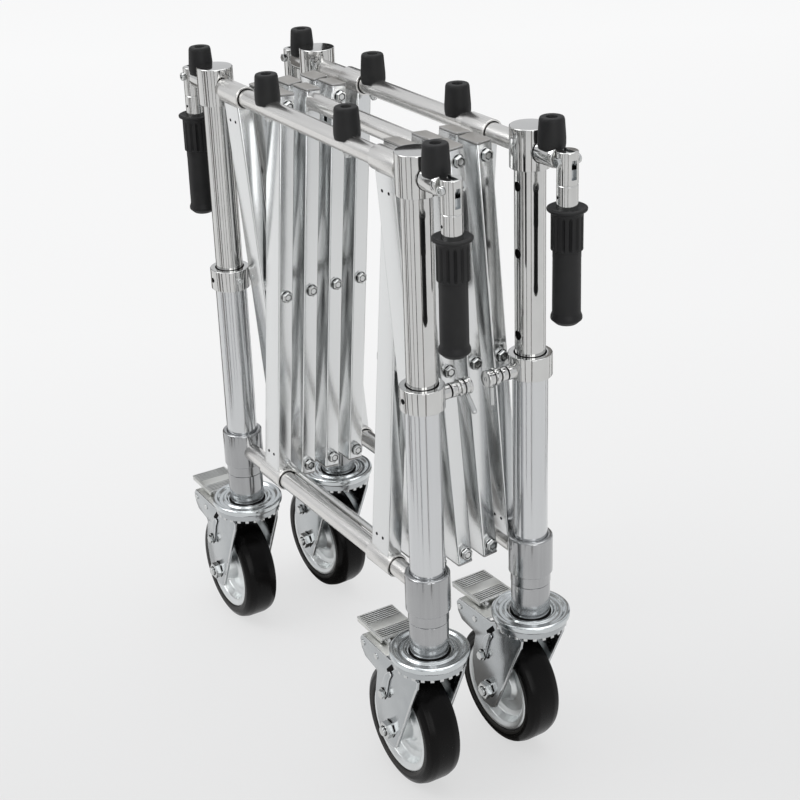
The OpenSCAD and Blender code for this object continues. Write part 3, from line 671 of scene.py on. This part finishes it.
def grip():
    """Rubber grip: flange, fluted band, plain shank and flared end."""
    flutes, per_flute, depth, share = 14, 12, 1.9, 0.42
    neck_r, rib_r, end_r = 15.25, 17.25, 17.2
    rib_foot, rib_top = grip_top - 47.0, grip_top - 7.5

    def flute(height, k):
        end_room = min(height - rib_foot - 0.8, rib_top - 0.8 - height) / 3.0
        open_part = share * min(1.0, max(0.0, end_room)) ** 0.5
        wave = 0.5 + 0.5 * cos(2 * pi * k / per_flute)
        return depth * max(0.0, wave - 1 + open_part) / share if open_part else 0.0

    outline = rounded([
        (0, grip_foot), (11.5, grip_foot, 4.0), (end_r, grip_foot + 5.5, 2.0),
        (end_r - 0.2, grip_foot + 8.5, 1.5), (15.4, grip_foot + 13.0, 4.0),
        (neck_r - 0.15, rib_foot - 9.0), (neck_r, rib_foot - 8.6), (neck_r, rib_foot - 0.6, 0.4)
    ])
    outline += [(16.6, rib_foot), (rib_r, rib_foot + 0.5)]
    steps, rise = 8, 0.5
    outline += [(rib_r, rib_foot + 0.8 + k * rise) for k in range(steps + 1)]
    outline += [(rib_r, rib_top - 0.8 - (steps - k) * rise) for k in range(steps + 1)]
    outline += rounded([
        (rib_r, rib_top - 0.4), (17.8, grip_top - 5.4, 1.5), (flange_r - 0.4, grip_top - 3.6, 0.8),
        (flange_r, grip_top - 1.2, 1.0), (flange_r - 2.2, grip_top - 0.1, 0.8),
        (stem_r + 2.5, grip_top - 2.0, 1.0), (stem_r - 0.5, grip_top - 2.6)
    ])
    return lathe(outline, rubber, flutes * per_flute, flute=flute)


# Lattice

def at_arm(i, layer):
    """Stands at middle pivot number i, leaning as the outer (-1) or inner (1) arms do."""
    y = joint_at["middle_pivot_1"].y + (i - 1) * mid_step
    return at(shift, y, mid_z) @ Matrix.Rotation(-layer * lean, 4, "X")


def arm(up, down):
    """Rectangular arm tube. A half as long as end_half stops at a crossbar's sleeve."""
    over, cap_t, short = 15.0, 1.9, 11.0
    rivet_r, rivet_x, rivet_back = 1.9, 6.5, 31.0
    part = Shape()
    top = up - short if up > mid_half + 1 else up + over - 2.4
    foot = -down + short if down > mid_half + 1 else -down - over + 2.4
    part.add(block((arm_w, arm_t, top - foot), arm_satin, 0.25, corner=2.2), at(0, 0, (top + foot) / 2))
    for way, half in ((1, up), (-1, down)):
        if half > mid_half + 1:
            for x in (-rivet_x, rivet_x):
                # Each rivet is only a thin black disc: painted shade.
                rivet = drum(rivet_r, 0.0, 0.35, shade, 0.05, steps=24)
                part.add(rivet, at(x, -arm_t / 2 - 0.2, way * (half - rivet_back)) @ ALONG_Y)
            continue
        end = way * (half + over)
        # Black slab in the gap between the arm's end and its cap: painted shade.
        part.add(block((arm_w - 1.2, arm_t - 1.2, 1.0), shade, 0.0, corner=1.8), at(0, 0, end - way * 2.2))
        cap = block((arm_w, arm_t, cap_t), cap_plastic, 0.35, corner=2.2)
        part.add(cap, at(0, 0, end - way * cap_t / 2))
    return part


def arm_pair(i, layer):
    """Left and right arms number i of the outer or inner layer, with what only some of them carry."""
    up = end_half if (layer, i) in ((-1, 1), (1, 4)) else mid_half
    down = end_half if (layer, i) in ((1, 1), (-1, 4)) else mid_half
    both = Shape()
    one = arm(up, down)
    for side in (-1, 1):
        both.add(one, at_arm(i, layer) @ at(side * (outer_x if layer < 0 else inner_x), 0, 0))
    if (layer, i) == (1, 3):
        # The square hole is only a thin black patch: painted shade.
        square_hole = block((6.5, 0.4, 8.5), shade, 0.0)
        both.add(square_hole, at_arm(i, layer) @ at(3 - inner_x, -arm_t / 2, mid_half - 29))
    if (layer, i) == (1, 2):
        reach = inner_x - arm_w / 2
        cross_tube = drum(bar_r, -reach, reach, bar_satin, 0.3)
        both.add(cross_tube, at_arm(i, layer) @ at(0, 0, mid_half) @ ALONG_X)
    return both


def washer():
    """Washer on the plane z = 0, with a black ring of painted shade for the gap under a bolt head or a nut.
    """
    part = drum(washer_r, 0.0, 1.4, bolt_zinc, 0.35, steps=48)
    return part.add(drum(washer_r - 0.7, 1.3, 1.7, shade, 0.1, steps=48))


def hex_head():
    """Bolt head with a sunk middle, on a washer."""
    part = washer()
    part.add(lathe([
        (6.9, 1.6), (7.3, 2.0), (7.3, 5.2), (6.8, 6.2), (5.9, 6.8), (5.0, 6.8), (4.7, 6.2), (0, 6.0)
    ], bolt_zinc, 6))
    # Black ring in the sunk middle: painted shade.
    part.add(drum(4.6, 5.9, 6.25, shade, 0.05, bore=3.4, steps=36))
    return part


def nut_end():
    """Nut on a washer, with the bolt's end standing out."""
    part = washer()
    part.add(lathe([(6.9, 1.6), (7.3, 2.0), (7.3, 5.4), (6.5, 6.3), (0, 6.3)], bolt_zinc, 6))
    # Black ring round the bolt's end: painted shade.
    part.add(drum(4.3, 6.2, 6.4, shade, 0.05, steps=36))
    part.add(drum(3.9, 6.0, 6.85, bolt_zinc, 0.3, steps=36))
    return part


def bolt_group(i):
    """Pivot bolts that turn with the inner arms i, left and right, with a spacer between the layers."""
    all_three = (-mid_half, 0, mid_half)
    heights = {1: (0, mid_half), 2: all_three, 3: all_three, 4: (-mid_half, 0)}
    near, far = inner_x - arm_w / 2, outer_x + arm_w / 2
    gap = outer_x - inner_x - arm_w
    spacer = drum(washer_r, -gap / 2, gap / 2, bolt_zinc, 0.3)
    spacer_x = inner_x + arm_w / 2 + gap / 2
    group = Shape()
    for height in heights[i]:
        for side in (-1, 1):
            place = at_arm(i, 1) @ at(0, 0, height)
            low, high = (near, far) if side > 0 else (-far, -near)
            in_tube = i == 2 and height > 0
            if not in_tube or side > 0:
                group.add(hex_head(), place @ at(high, 0, 0) @ ALONG_X)
            if not in_tube or side < 0:
                group.add(nut_end(), place @ at(low, 0, 0) @ Matrix.Rotation(pi, 4, "Z") @ ALONG_X)
            group.add(spacer, place @ at(side * spacer_x, 0, 0) @ ALONG_X)
    return group


def sleeves(end, z, x, length):
    """Sleeves that turn on a crossbar, with a black lining of painted shade for the gap inside each."""
    both = Shape()
    bore_r = 12.2
    ring = drum(sleeve_r, -length / 2, length / 2, bar_satin, 0.8, bore=bore_r)
    # Black lining between the sleeve's bore and the bar: painted shade.
    ring.add(drum(bore_r + 0.2, 0.8 - length / 2, length / 2 - 0.8, shade, 0.1, bore=bar_r + 0.05))
    for side in (-1, 1):
        both.add(ring, at(shift + side * x, end * post_y, z) @ ALONG_X)
    return both


def tie_rod():
    """Thin rod behind the front lower bar, with the lugs that hold it to the sleeves."""
    low, high = shift - inner_x + arm_w / 2, shift + inner_x - arm_w / 2
    y, z = -post_y + 13, lower_bar_z + 9
    rod_r, lug_half, lug_top, lug_tilt = 4.0, 4.5, 15.5, radians(34)
    part = Shape().add(drum(rod_r, low, high, chrome, 0.3, steps=40), at(0, y, z) @ ALONG_X)
    lug = plate(rounded([
        (-lug_half, -lug_half, 4), (lug_half, -lug_half, 4), (lug_half, lug_top, 4), (-lug_half, lug_top, 4)
    ], closed=True), 3.0, bolt_zinc)
    for x in (low + 1.6, high - 1.6):
        part.add(lug, at(x, y, z) @ Matrix.Rotation(lug_tilt, 4, "X") @ SIDEWAYS)
    return part


# Casters, drawn about their swivel axis and trailing towards -X

trail = (joint_at["front_right_swivel"] - joint_at["front_right_wheel_spin"]).xy.length
leg_in, leg_t = 29.5, 3.5
leg_out = leg_in + leg_t
bracket_top = 174.3
pedal_pivot = -68.0, 162.0


def at_caster(name):
    """Stands under a caster's swivel, turned the way the caster trails at rest."""
    swivel, axle = joint_at[name + "_swivel"], joint_at[name + "_wheel_spin"]
    ahead = (swivel - axle).xy
    return at(swivel.x, swivel.y, 0) @ Matrix.Rotation(atan2(ahead.y, ahead.x), 4, "Z")


def fork_leg():
    """One leg with its half of the brake bracket. The outline holds (ahead, height)."""
    return plate(rounded([
        (21.0, 189.0, 1.0), (-21.0, 189.0, 1.0), (-21.0, 180.0), (-28.0, 178.5, 1.0),
        (-36.0, bracket_top, 2.0), (-101.0, bracket_top, 4.0),
        (-106.0, 168.0, 6.0), (-103.0, 156.0, 6.0), (-95.0, 147.0, 6.0),
        (-67.0, 142.5, 4.0), (-72.0, 118.0, 20.0), (-74.5, 98.0, 16.0), (-70.0, 72.0, 16.0),
        (-56.0, 51.0, 14.0), (-30.0, 50.0, 16.0), (22.5, 166.0, 10.0), (25.0, 177.5), (21.0, 180.0)
    ], closed=True), leg_t, fork_zinc, 0.7)


def axle_nut():
    """Large nut of the axle on its washer, with the axle's end standing out."""
    nut_r, axle_r = 10.97, 5.8
    part = lathe([
        (12.0, 0.0), (12.0, 1.0), (10.4, 1.0), (nut_r, 1.6), (nut_r, 7.6), (10.2, 8.6), (0, 8.8)
    ], bolt_zinc, 6)
    # Black disc under the washer and black ring round the axle's end: painted shade in the gaps.
    part.add(drum(11.4, 0.0, 0.8, shade, 0.2))
    part.add(drum(axle_r, 8.0, 12.0, bolt_zinc, 0.9, steps=40))
    return part.add(drum(axle_r + 0.8, 8.5, 9.0, shade, 0.0, steps=40))


def lock_link():
    """Small bent link on the outside of a leg, on a black outline of painted shade, with its bolt."""
    outline = rounded([
        (-35, 161, 3), (-31, 156, 3), (-37, 146, 12), (-42, 130, 12),
        (-45, 116, 5), (-55, 116, 5), (-53, 134, 12), (-46, 150, 12)
    ], closed=True)
    centre, drift, growth = Vector((-43, 138, 0)), Vector((-0.4, -0.4, 0)), (1.08, 1.02, 1, 1)
    widen = at(*(centre + drift)) @ Matrix.Diagonal(growth) @ at(*-centre)
    painted_shadow_outline = [(widen @ Vector((*point, 0))).xy for point in outline]
    bolt_r, bolt_at = 5.77, (-50, 121)
    bolt = lathe([
        (7.0, 0), (7.0, 1.2), (5.0, 1.2), (bolt_r, 1.8), (bolt_r, 4.6), (5.1, 5.3), (0, 5.3)
    ], bolt_zinc, 6)
    part = Shape()
    # Black plate a little larger than the link: painted shadow round its edge.
    part.add(plate(painted_shadow_outline, 0.8, shade, 0.0), at(0, 0, 0.1))
    part.add(plate(outline, 2.4, fork_zinc, 0.9), at(0, 0, 1.2))
    # Black ring under the bolt: painted shade.
    part.add(drum(7.4, 2.2, 2.7, shade, 0.0, steps=40), at(*bolt_at, 0))
    return part.add(bolt, at(*bolt_at, 2.4))


def fork():
    """Crown, two legs with the brake bracket behind them, axle bolt, links and rivets."""
    part = Shape()
    part.add(drum(leg_out + 5, crown_top - 4, crown_top, fork_zinc, 1.2, bore=kingpin_r + 0.1))
    leg = fork_leg()
    # Strip of lighter bolt zinc along the leg's front edge, standing a little proud: a painted highlight on
    # the edge.
    edge_highlight = plate([
        (22.9, 168.0), (-28.6, 54.2), (-30.2, 55.4), (21.0, 168.6)
    ], leg_t + 0.5, bolt_zinc, 0.25)
    # The notch is only a thin black plate: painted shade.
    notch = plate(rounded([
        (-31, 172, 1), (-44, 158, 1), (-41, 154, 1), (-33, 160, 2), (-27, 167, 1)
    ], closed=True), 0.5, shade, 0.0)
    rivet = lathe(rounded([(0, 0), (4.0, 0), (4.0, 1.2, 0.7), (0, 1.4)]), bolt_zinc, 32)
    outside = Shape()
    outside.add(rivet, at(-99, 164, 0))
    outside.add(rivet, at(*pedal_pivot, 0))
    outside.add(axle_nut(), at(-trail, axle_z, 0))
    outside.add(edge_highlight, at(0, 0, -leg_t / 2))
    outside.add(notch)
    outside.add(lock_link())
    for side in (-1, 1):
        part.add(leg, at(0, side * (leg_in + leg_t / 2), 0) @ UPRIGHT)
        part.add(outside, Matrix.Diagonal((1, -side, 1, 1)) @ at(0, -leg_out, 0) @ UPRIGHT)
    half, cover_t, cover_far, cover_near = leg_out - 0.5, 2.6, -101.5, -45
    # The cover takes the pedal zinc: rougher, so it mirrors less of the pedal's underside, and lighter,
    # which is painted light on a plate in the pedal's shade.
    cover = plate(rounded([
        (cover_far, -half), (cover_near, -half), (cover_near, half), (cover_far, half)
    ], closed=True), cover_t, pedal_zinc, 0.8)
    part.add(cover, at(0, 0, bracket_top - 1.2))
    axle_bolt = drum(6.0, -leg_out, leg_out, bolt_zinc, 0.2, steps=40)
    part.add(axle_bolt, at(-trail, 0, axle_z) @ ALONG_Y)
    pedal_pin = drum(3.4, -leg_out, leg_out, bolt_zinc, 0.2, steps=32)
    part.add(pedal_pin, at(pedal_pivot[0], 0, pedal_pivot[1]) @ ALONG_Y)
    return part


def rim():
    """Wheel centre: lips, dished web, hub and the bearing's dust ring."""
    lip_r, lip_half, hub_r, hub_half, dust_r = rim_r - 0.1, 21.6, 17.0, 28.8, 9.2
    outline = rounded([
        (lip_r, 20.4), (lip_r - 2.0, lip_half, 0.8), (lip_r - 4.5, 21.0, 1.0), (48.0, 18.5, 2.0),
        (44.5, 8.0, 3.0), (38.0, 5.5, 3.0), (24.0, 7.0, 4.0), (19.0, 12.0, 2.0),
        (hub_r, hub_half - 0.4, 1.0), (9.0, hub_half)
    ])
    mirrored = [(radius, -height) for radius, height in reversed(outline)]
    part = lathe(mirrored + outline, rim_paint, 96)
    part.add(drum(dust_r, 27.0, 29.0, bolt_zinc, 0.4, bore=6.0))
    part.add(drum(dust_r, -29.0, -27.0, bolt_zinc, 0.4, bore=6.0))
    return Shape().add(part, at(-trail, 0, axle_z) @ ALONG_Y)


def tyre():
    """Black tyre with a duller band beside the rim, painted lighter as a reflection. The outline runs from
    the rim to the crown.
    """
    side_half = 23.0
    outline = rounded([
        (rim_r, 19.8), (rim_r + 1.0, 21.4, 0.6), (rim_r + 3.5, side_half - 0.2, 1.5),
        (rim_r + 8.5, side_half, 4.0), (wheel_r - 2.5, 19.5, 6.0), (wheel_r, 11.0, 12.0), (wheel_r, 0)
    ])
    mirrored = [(radius, -height) for radius, height in outline]
    part = lathe(mirrored + list(reversed(outline[:-1])), tread, 128)
    band = lathe(rounded([
        (rim_r + 0.4, 21.0), (rim_r + 1.6, 22.4, 0.8), (rim_r + 4.6, side_half, 1.0), (rim_r + 5.2, 22.4)
    ]), sidewall_sheen, 128)
    for way in (1, -1):
        part.add(band, Matrix.Scale(way, 4, (0, 0, 1)))
    return Shape().add(part, at(-trail, 0, axle_z) @ ALONG_Y)


def brake_pedal():
    """Ribbed pedal plate with a plain band across its middle, side skirts and two lugs."""
    far, near, half = -127.0, -67.0, 25.0
    deck_t, rib_t, rib_l, lug_half, lug_y = 2.2, 1.0, 47.0, 6.5, 17
    ribs, rib_step, plain_ribs = 16, 3.68, range(6, 11)
    first_rib = far + 2.4
    length, middle_at = near - far, (far + near) / 2
    part = Shape()
    corners = (far, -half), (near, -half), (near, half), (far, half)
    deck = rounded([(*corner, 1.5) for corner in corners], closed=True)
    part.add(plate(deck, deck_t, pedal_zinc, 0.5), at(0, 0, pedal_top - 2.0))
    # Black sheet under the ribs: painted shade in the grooves between them.
    part.add(block((length - 4, 44.0, 0.2), shade, 0.0), at(middle_at, 0, pedal_top - 0.85))
    rib = block((2.2, rib_l, rib_t), pedal_zinc, 0.35)
    for k in range(ribs):
        if k not in plain_ribs:
            part.add(rib, at(first_rib + k * rib_step, 0, pedal_top - 0.55))
    plain = block((len(plain_ribs) * rib_step - 0.6, rib_l, rib_t), pedal_zinc, 0.35)
    part.add(plain, at(first_rib + 8 * rib_step, 0, pedal_top - 0.6))
    skirt = block((length - 3, 1.8, 4.5), pedal_zinc, 0.5)
    lug_near, lug_far = pedal_pivot[0] + lug_half, pedal_pivot[0] - lug_half
    lug_foot, lug_top = pedal_pivot[1] - 6, pedal_top - 2.0
    lug = plate(rounded([
        (lug_far, lug_foot, 5), (lug_near, lug_foot, 5), (lug_near, lug_top), (lug_far, lug_top)
    ], closed=True), 4.0, bolt_zinc)
    for side in (-1, 1):
        part.add(skirt, at(middle_at, side * (half - 1.0), pedal_top - 4.6))
        part.add(lug, at(0, side * lug_y, 0) @ UPRIGHT)
    return part


# Every node gets its dressed piece

shapes = {}
for end, frame_name in ((-1, "front"), (1, "rear")):
    feet = pair(socket().add(caster_head()), end)
    upper_bar = crossbar(upper_bar_z)
    rubber_feet = pair(Shape().add(buffer(stub_r), at(post_buffer_x, 0, 0)), end)
    for side in (-1, 1):
        buffer_x = middle_x + side * bar_buffer_x
        upper_bar.add(acorn_screw(), at(buffer_x, 0, 0))
        rubber_feet.add(buffer(bar_r), at(buffer_x, end * post_y, 0))
    shapes[frame_name + "_lower_tubes"] = pair(lower_tube(), end)
    shapes[frame_name + "_sockets"] = feet
    shapes[frame_name + "_collars"] = pair(collar(), end)
    shapes[frame_name + "_lower_bar"] = Shape().add(crossbar(lower_bar_z), at(0, end * post_y, 0))
    shapes[frame_name + "_upper_tubes"] = pair(chrome_tube(), end)
    shapes[frame_name + "_heads"] = pair(head(), end)
    shapes[frame_name + "_upper_bar"] = Shape().add(upper_bar, at(0, end * post_y, 0))
    shapes[frame_name + "_buffers"] = rubber_feet
    for side, side_name in ((-1, "left"), (1, "right")):
        corner = f"{frame_name}_{side_name}"
        post = at_post(end, side)
        shapes[corner + "_handle_stem"] = Shape().add(handle_stem(), post @ at(hinge_reach, 0, 0))
        shapes[corner + "_grip"] = Shape().add(grip(), post @ at(hinge_reach, 0, 0))
        shapes[corner + "_plunger"] = Shape().add(plunger(lever_tilts[frame_name]), post)
        for name, draw in (("fork", fork), ("rim", rim), ("tyre", tyre), ("brake_pedal", brake_pedal)):
            shapes[f"{corner}_{name}"] = Shape().add(draw(), at_caster(corner))
for i in range(1, 5):
    shapes[f"outer_arms_{i}"] = arm_pair(i, -1)
    shapes[f"inner_arms_{i}"] = arm_pair(i, 1)
    shapes[f"pivot_bolts_{i}"] = bolt_group(i)
for end, frame_name, upper_x, lower_x in ((-1, "front", outer_x, inner_x), (1, "rear", inner_x, outer_x)):
    length = sleeve_lengths[frame_name]
    shapes[frame_name + "_upper_sleeves"] = sleeves(end, upper_bar_z, upper_x, length)
    shapes[frame_name + "_lower_sleeves"] = sleeves(end, lower_bar_z, lower_x, length)
shapes["front_lower_sleeves"].add(tie_rod())
for node, shape in shapes.items():
    close(shape, node)


# Camera, at the place worked out from the photo

camera_at = Vector((1600.1 + middle_x, -961.2, 1299.9)) * MM
camera_yaw, camera_pitch, camera_roll = 2.6076, 0.4094, -0.0449
focal_pixels, frame_pixels = 1688.1, 800.0
optic_x, optic_y = 360.0, 340.0
ahead = Vector((
    cos(camera_pitch) * cos(camera_yaw), cos(camera_pitch) * sin(camera_yaw), -sin(camera_pitch)
))
level = ahead.cross(Vector((0, 0, 1))).normalized()
upward = level.cross(ahead)
right = cos(camera_roll) * level + sin(camera_roll) * upward
over = cos(camera_roll) * upward - sin(camera_roll) * level
lens = bpy.data.cameras.new("camera")
lens.sensor_width = 36.0
lens.lens = focal_pixels / frame_pixels * lens.sensor_width
lens.shift_x = 0.5 - optic_x / frame_pixels
lens.shift_y = optic_y / frame_pixels - 0.5
camera = bpy.data.objects.new("camera", lens)
camera.matrix_world = Matrix.Translation(camera_at) @ Matrix((right, over, -ahead)).transposed().to_4x4()
bpy.context.scene.collection.objects.link(camera)
bpy.context.scene.camera = camera


# Studio

def card(name, size, place, look_at, finish):
    """Flat panel that faces a point."""
    mesh = bpy.data.meshes.new(name)
    w, h = size[0] / 2, size[1] / 2
    mesh.from_pydata([(-w, -h, 0), (w, -h, 0), (w, h, 0), (-w, h, 0)], [], [(0, 1, 2, 3)])
    mesh.materials.append(finish)
    panel = bpy.data.objects.new(name, mesh)
    facing = Vector(look_at) - Vector(place)
    panel.matrix_world = Matrix.Translation(place) @ facing.to_track_quat("Z", "Y").to_matrix().to_4x4()
    bpy.context.scene.collection.objects.link(panel)
    return panel


def lamp(name, size, power, place, look_at=(0, 0, 0.45)):
    """Rectangular lamp that faces a point."""
    light = bpy.data.lights.new(name, "AREA")
    light.shape = "RECTANGLE"
    light.size, light.size_y = size
    light.energy = power
    holder = bpy.data.objects.new(name, light)
    facing = Vector(look_at) - Vector(place)
    holder.matrix_world = Matrix.Translation(place) @ facing.to_track_quat("-Z", "Y").to_matrix().to_4x4()
    bpy.context.scene.collection.objects.link(holder)


def floor_finish():
    """Matt white that a lens and a mirror see as a bright sweep, darker towards the viewer."""
    finish = Finish("floor_white", base_color=(0.84, 0.84, 0.84), roughness=0.9)
    position = finish.node("ShaderNodeNewGeometry")
    heading = Vector((ahead.x, ahead.y, 0)).normalized()
    settings = {"operation": "DOT_PRODUCT"}
    away = finish.node("ShaderNodeVectorMath", settings, {0: position, 1: heading}, output=1)
    nearest, depth = -0.25, 4.0
    stops = [(0.0, 0.76), (0.16, 0.84), (0.36, 0.91), (0.94, 1.0)]
    sweep = finish.node("ShaderNodeValToRGB", {"stops": stops}, {"Fac": (away - nearest) * (1 / depth)})
    glow = finish.node("ShaderNodeEmission", values={"Color": sweep, "Strength": 1.0})
    rays = finish.node("ShaderNodeLightPath")
    seen = rays
    for kind in ("Is Glossy Ray", "Is Transmission Ray"):
        seen = seen + Link(finish, rays.socket.node.outputs[kind])
    matt = Link(finish, finish.shader.outputs[0])
    surface = finish.node("ShaderNodeMixShader", values={0: seen * 0.8, 1: matt, 2: glow})
    finish.feed(finish.tree.nodes["Material Output"].inputs["Surface"], surface)
    return finish.material


card("floor", (60.0, 60.0), (0, 0, 0), (0, 0, 1), floor_finish())

# Dark cards round the truck that only its bright metal mirrors: heading and width in degrees

black_card = Finish("black_card", base_color=(0.02, 0.02, 0.02), roughness=0.9).material
grey_card = Finish("grey_card", base_color=(0.20, 0.19, 0.18), roughness=0.9).material
card_reach, card_height = 0.8, 1.1
dark_cards = []
for number, (heading, spread, finish) in enumerate((
    (-92, 5, black_card), (-108, 10, grey_card), (-122, 3, black_card), (-172, 20, grey_card),
    (-66, 3, grey_card), (-44, 3, black_card), (-16, 4, grey_card), (62, 3, grey_card),
    (84, 6, black_card), (112, 26, grey_card), (146, 12, black_card)
)):
    toward = Vector((cos(radians(heading)), sin(radians(heading)), 0))
    place = toward * card_reach + Vector((0, 0, card_height / 2))
    size = (2 * card_reach * tan(radians(spread / 2)), card_height)
    dark_cards.append(card(f"card_{number}", size, place, (0, 0, place.z), finish))
# Grey card under the truck, seen only in reflections: painted shade for the dim floor beneath it.
under = Vector((-0.02, 0.03, 0.003))
dark_cards.append(card("card_under", (0.52, 0.10), under, under + Vector((0, 0, 1)), grey_card))
for panel in dark_cards:
    panel.visible_camera = False
    panel.visible_diffuse = False
    panel.visible_shadow = False

world = bpy.data.worlds.new("studio")
bpy.context.scene.world = world
world.use_nodes = True
sky = world.node_tree.nodes["Background"].inputs
sky["Color"].default_value = (0.93, 0.94, 0.96, 1.0)
sky["Strength"].default_value = 0.75
lamp("key", (2.4, 2.4), 60.0, (-1.2, -2.6, 3.4))
lamp("fill", (2.0, 2.4), 26.0, (3.4, -1.0, 1.6))
lamp("top", (3.0, 3.0), 40.0, (0.2, 0.6, 3.6))

bpy.context.scene.view_settings.view_transform = "Standard"
bpy.context.view_layer.update()
